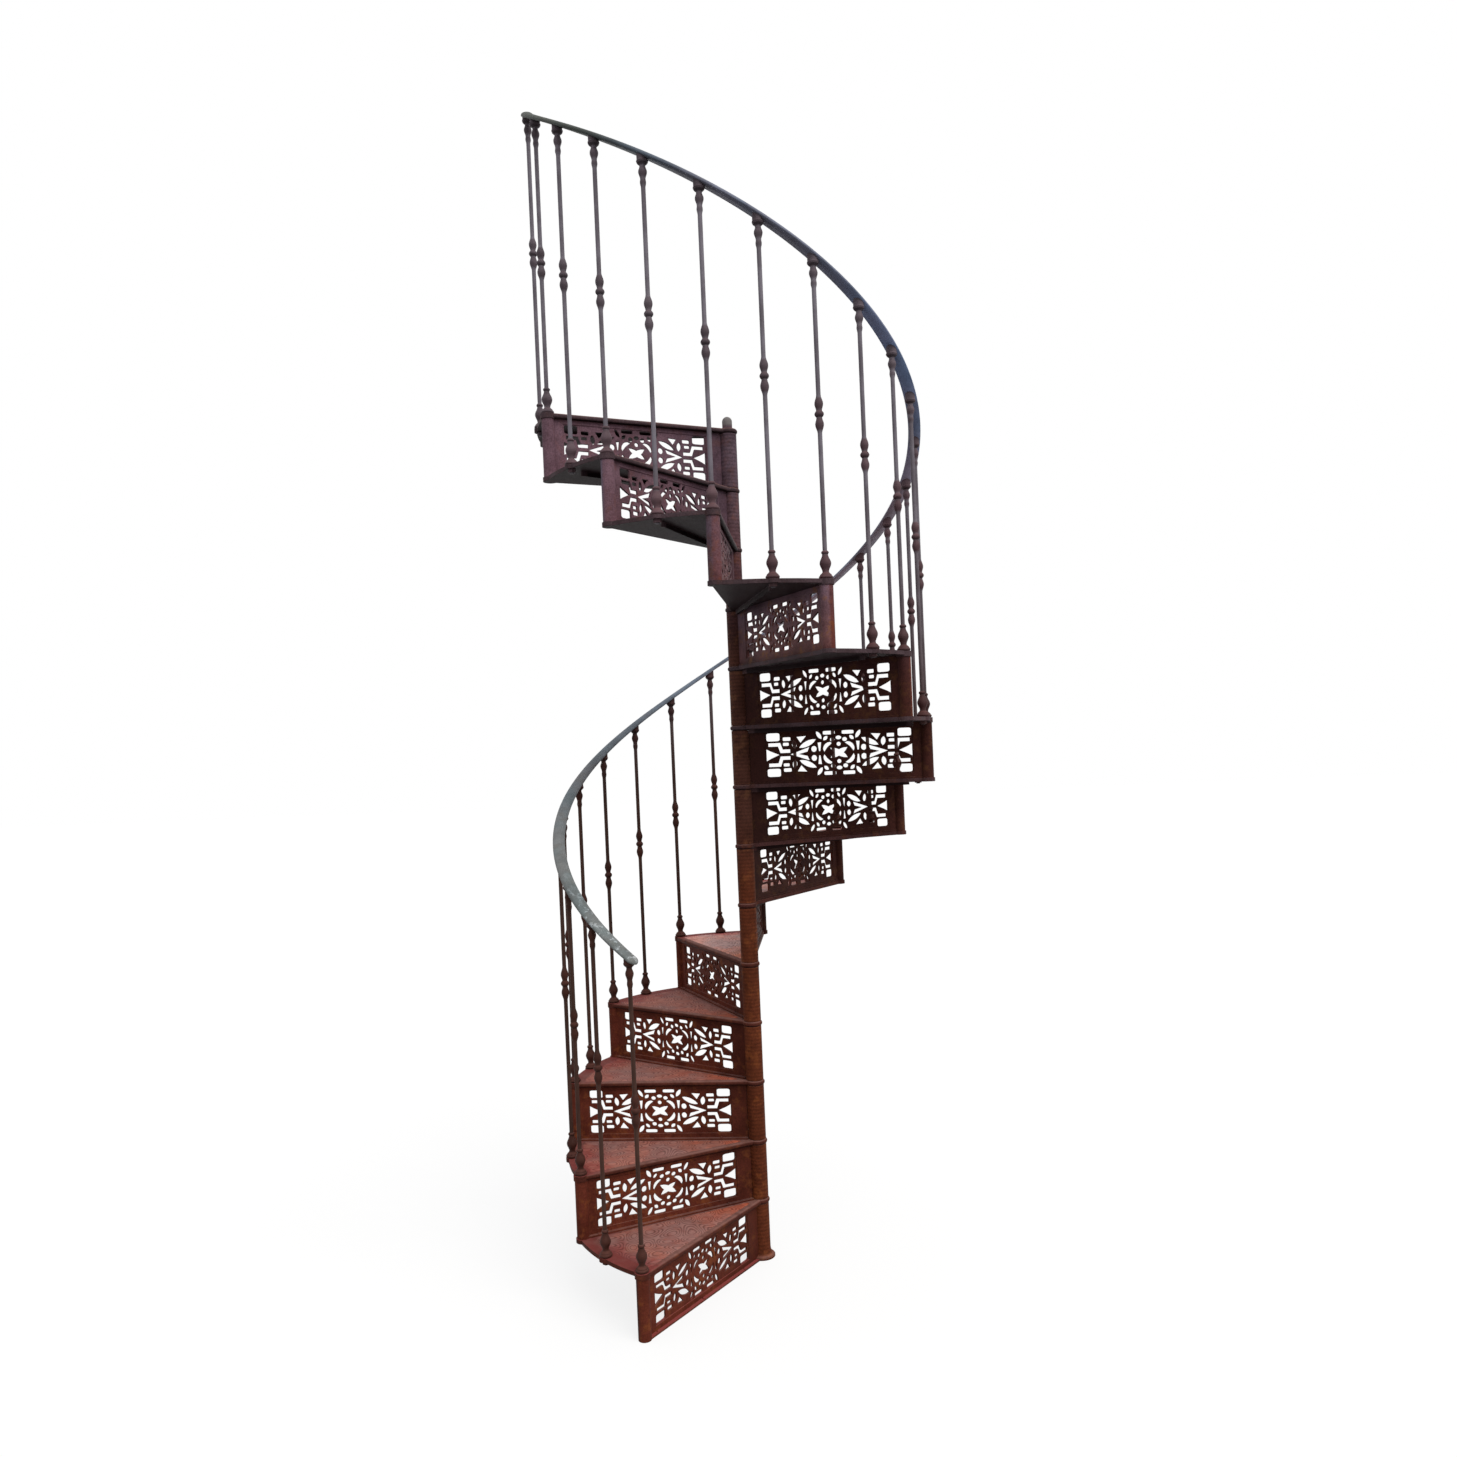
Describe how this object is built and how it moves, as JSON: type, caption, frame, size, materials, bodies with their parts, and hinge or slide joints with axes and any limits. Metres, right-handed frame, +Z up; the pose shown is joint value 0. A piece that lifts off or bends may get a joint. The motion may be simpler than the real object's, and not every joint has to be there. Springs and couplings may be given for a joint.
{
  "type": "spiral staircase",
  "caption": "Cast-iron spiral staircase: wedge treads and pierced risers round a central newel, with turned balusters and a climbing handrail.",
  "frame": {"origin": "centre of the newel at floor level", "axes": "+Z up along the newel; riser 12 stands along -Y and riser 9 along +X; the stair climbs clockwise seen from above"},
  "size_m": [1.226, 1.226, 3.6501],
  "materials": {
    "tread": "worn red-brown paint, dusty",
    "riser": "dark red-brown paint, weathered",
    "newel": "rusty red-brown paint",
    "baluster": "dark purple-brown paint",
    "handrail": "worn grey-green paint"
  },
  "bodies": {
    "root": {"newel_sleeves": "newel", "centre_rod": "newel", "handrail": "handrail", "riser_01": "riser", "riser_02": "riser", "riser_03": "riser", "riser_04": "riser", "riser_05": "riser", "riser_06": "riser", "riser_07": "riser", "riser_08": "riser", "riser_09": "riser", "riser_10": "riser", "riser_11": "riser", "riser_12": "riser", "riser_13": "riser", "riser_14": "riser", "tread_01": "tread", "tread_02": "tread", "tread_03": "tread", "tread_04": "tread", "tread_05": "tread", "tread_06": "tread", "tread_07": "tread", "tread_08": "tread", "tread_09": "tread", "tread_10": "tread", "tread_11": "tread", "tread_12": "tread", "tread_13": "tread", "tread_14": "tread", "balusters_01": "baluster", "balusters_02": "baluster", "balusters_03": "baluster", "balusters_04": "baluster", "balusters_05": "baluster", "balusters_06": "baluster", "balusters_07": "baluster", "balusters_08": "baluster", "balusters_09": "baluster", "balusters_10": "baluster", "balusters_11": "baluster", "balusters_12": "baluster", "balusters_13": "baluster", "balusters_14": "baluster"}
  },
  "joints": []
}
